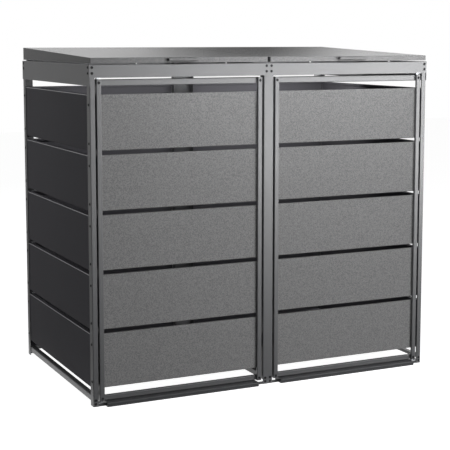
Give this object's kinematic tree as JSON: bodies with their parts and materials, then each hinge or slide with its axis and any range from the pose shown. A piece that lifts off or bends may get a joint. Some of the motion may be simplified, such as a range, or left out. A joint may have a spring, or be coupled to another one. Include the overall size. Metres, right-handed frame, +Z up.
{
  "type": "wheelie bin store",
  "caption": "Double wheelie bin store of folded steel slats on an angle frame, with front doors and sloping lift-up lids.",
  "frame": {"origin": "on the ground under the middle of the whole store, sills and lid hinges included", "axes": "+X along the front to the right, +Y from the front to the back, +Z up"},
  "size_m": [1.3836, 0.8395, 1.2519],
  "materials": {
    "frame_coating": "satin powder coat, anthracite",
    "wall_coating": "satin powder coat, anthracite",
    "door_coating": "fine-textured powder coat, anthracite",
    "lid_coating": "smooth satin powder coat, anthracite",
    "hinge_steel": "zinc plated",
    "screw_heads": "black oxide, hexagon heads",
    "catch_housing": "moulded, black",
    "buffer_rubber": "soft, light grey"
  },
  "bodies": {
    "frame": {"front_left_post": "frame_coating", "front_centre_post": "frame_coating", "front_right_post": "frame_coating", "back_left_post": "frame_coating", "back_centre_post": "frame_coating", "back_right_post": "frame_coating", "front_top_rail": "frame_coating", "back_top_rail": "frame_coating", "left_top_rail": "frame_coating", "right_top_rail": "frame_coating", "centre_top_tie": "frame_coating", "bottom_rails": "frame_coating", "left_sill": "frame_coating", "right_sill": "frame_coating", "back_left_panels": "wall_coating", "back_right_panels": "wall_coating", "door_pivot_brackets": "hinge_steel", "door_magnet_catches": "catch_housing", "lid_hinge_rail_leaves": "hinge_steel", "lid_hinge_pins": "hinge_steel", "lid_buffers": "buffer_rubber", "frame_screws": "screw_heads", "left_side_panel_1": "wall_coating", "left_side_panel_2": "wall_coating", "left_side_panel_3": "wall_coating", "left_side_panel_4": "wall_coating", "left_side_panel_5": "wall_coating", "right_side_panel_1": "wall_coating", "right_side_panel_2": "wall_coating", "right_side_panel_3": "wall_coating", "right_side_panel_4": "wall_coating", "right_side_panel_5": "wall_coating"},
    "left_door": {"left_door_hinge_stile": "frame_coating", "left_door_latch_stile": "frame_coating", "left_door_top_rail": "frame_coating", "left_door_bottom_rail": "frame_coating", "left_door_panel_1": "door_coating", "left_door_panel_2": "door_coating", "left_door_panel_3": "door_coating", "left_door_panel_4": "door_coating", "left_door_panel_5": "door_coating", "left_door_pivots": "hinge_steel", "left_door_screws": "screw_heads"},
    "left_lid": {"left_lid": "lid_coating", "left_lid_grip": "lid_coating", "left_lid_hinge_leaves": "hinge_steel"},
    "right_door": {"right_door_hinge_stile": "frame_coating", "right_door_latch_stile": "frame_coating", "right_door_top_rail": "frame_coating", "right_door_bottom_rail": "frame_coating", "right_door_panel_1": "door_coating", "right_door_panel_2": "door_coating", "right_door_panel_3": "door_coating", "right_door_panel_4": "door_coating", "right_door_panel_5": "door_coating", "right_door_pivots": "hinge_steel", "right_door_screws": "screw_heads"},
    "right_lid": {"right_lid": "lid_coating", "right_lid_grip": "lid_coating", "right_lid_hinge_leaves": "hinge_steel"}
  },
  "joints": [
    {"name": "left_door_swing", "type": "hinge", "parent": "frame", "child": "left_door", "pos_m": [-0.656, -0.38525, 0.6], "axis": [0, 0, -1], "range_deg": [0, 110]},
    {"name": "right_door_swing", "type": "hinge", "parent": "frame", "child": "right_door", "pos_m": [0.656, -0.38525, 0.6], "axis": [0, 0, 1], "range_deg": [0, 110]},
    {"name": "left_lid_lift", "type": "hinge", "parent": "frame", "child": "left_lid", "pos_m": [-0.346, 0.41525, 1.202], "axis": [-1, 0, 0], "range_deg": [0, 95]},
    {"name": "right_lid_lift", "type": "hinge", "parent": "frame", "child": "right_lid", "pos_m": [0.346, 0.41525, 1.202], "axis": [-1, 0, 0], "range_deg": [0, 95]}
  ]
}
